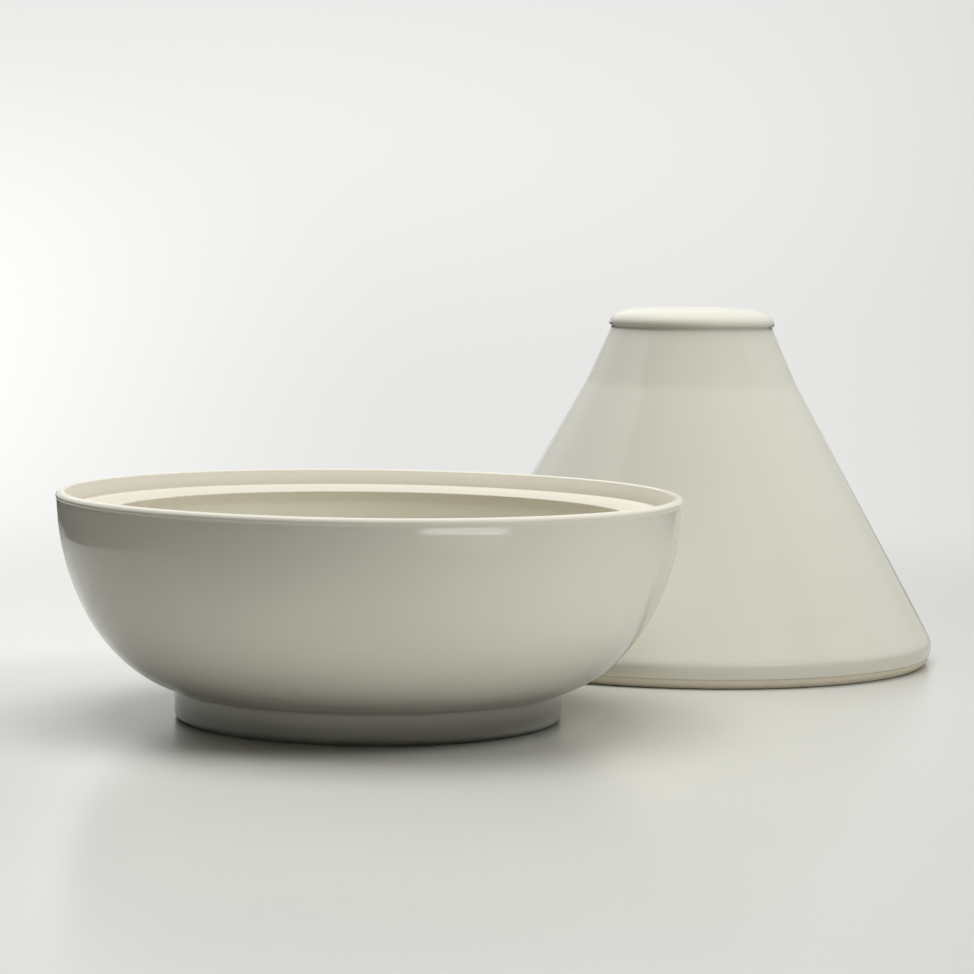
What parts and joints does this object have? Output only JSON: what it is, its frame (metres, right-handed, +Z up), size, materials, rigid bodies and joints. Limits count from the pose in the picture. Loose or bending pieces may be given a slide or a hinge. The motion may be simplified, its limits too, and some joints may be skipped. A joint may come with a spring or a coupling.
{
  "type": "tagine",
  "caption": "Round stoneware cooking bowl with a lid ledge inside its rim and a turned foot, and a hollow conical lid with a rolled, dished knob set down beside it.",
  "frame": {"origin": "centre of the box round the bowl and the lid, on the plane that both stand on", "axes": "+X from the bowl's axis to the lid's axis, +Z up, +Y to the left of +X"},
  "size_m": [0.5394, 0.28, 0.182],
  "materials": {
    "bowl_glaze": "glossy pale grey-green glaze",
    "lid_glaze": "satin-gloss pale cream glaze"
  },
  "bodies": {
    "bowl": {"bowl": "bowl_glaze"},
    "lid": {"lid": "lid_glaze"}
  },
  "joints": [
    {"name": "lid_lift", "type": "slide", "parent": "bowl", "child": "lid", "axis": [0, 0, 1], "range_m": [0, 0.25]}
  ]
}
